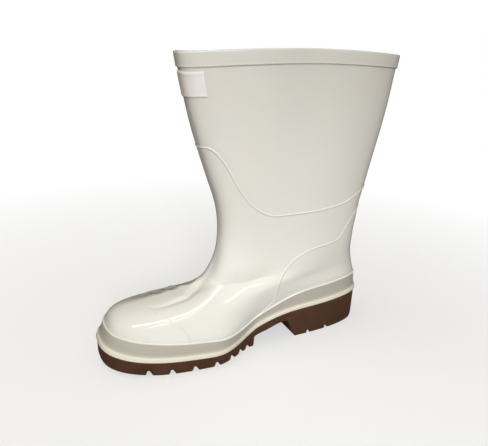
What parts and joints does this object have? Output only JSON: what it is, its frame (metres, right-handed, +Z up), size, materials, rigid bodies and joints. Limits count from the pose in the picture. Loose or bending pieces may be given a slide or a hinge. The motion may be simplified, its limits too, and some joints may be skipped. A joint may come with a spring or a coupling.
{
  "type": "pull-on work boot",
  "caption": "Hollow pull-on rubber work boot for the right foot: moulded shaft and foot with a collar band and foxing, on a heeled lugged sole.",
  "frame": {"origin": "middle of the bounding box on the floor under the boot", "axes": "+Z up, -Y towards the toe, +X towards the inner side of the right foot"},
  "size_m": [0.1086, 0.3098, 0.2854],
  "materials": {
    "upper_white": "glossy",
    "sole_brown": "satin",
    "lining": "matte",
    "plate_white": "satin"
  },
  "bodies": {
    "root": {"upper": "upper_white", "outsole": "sole_brown", "footbed": "lining", "front_plate": "plate_white"}
  },
  "joints": []
}
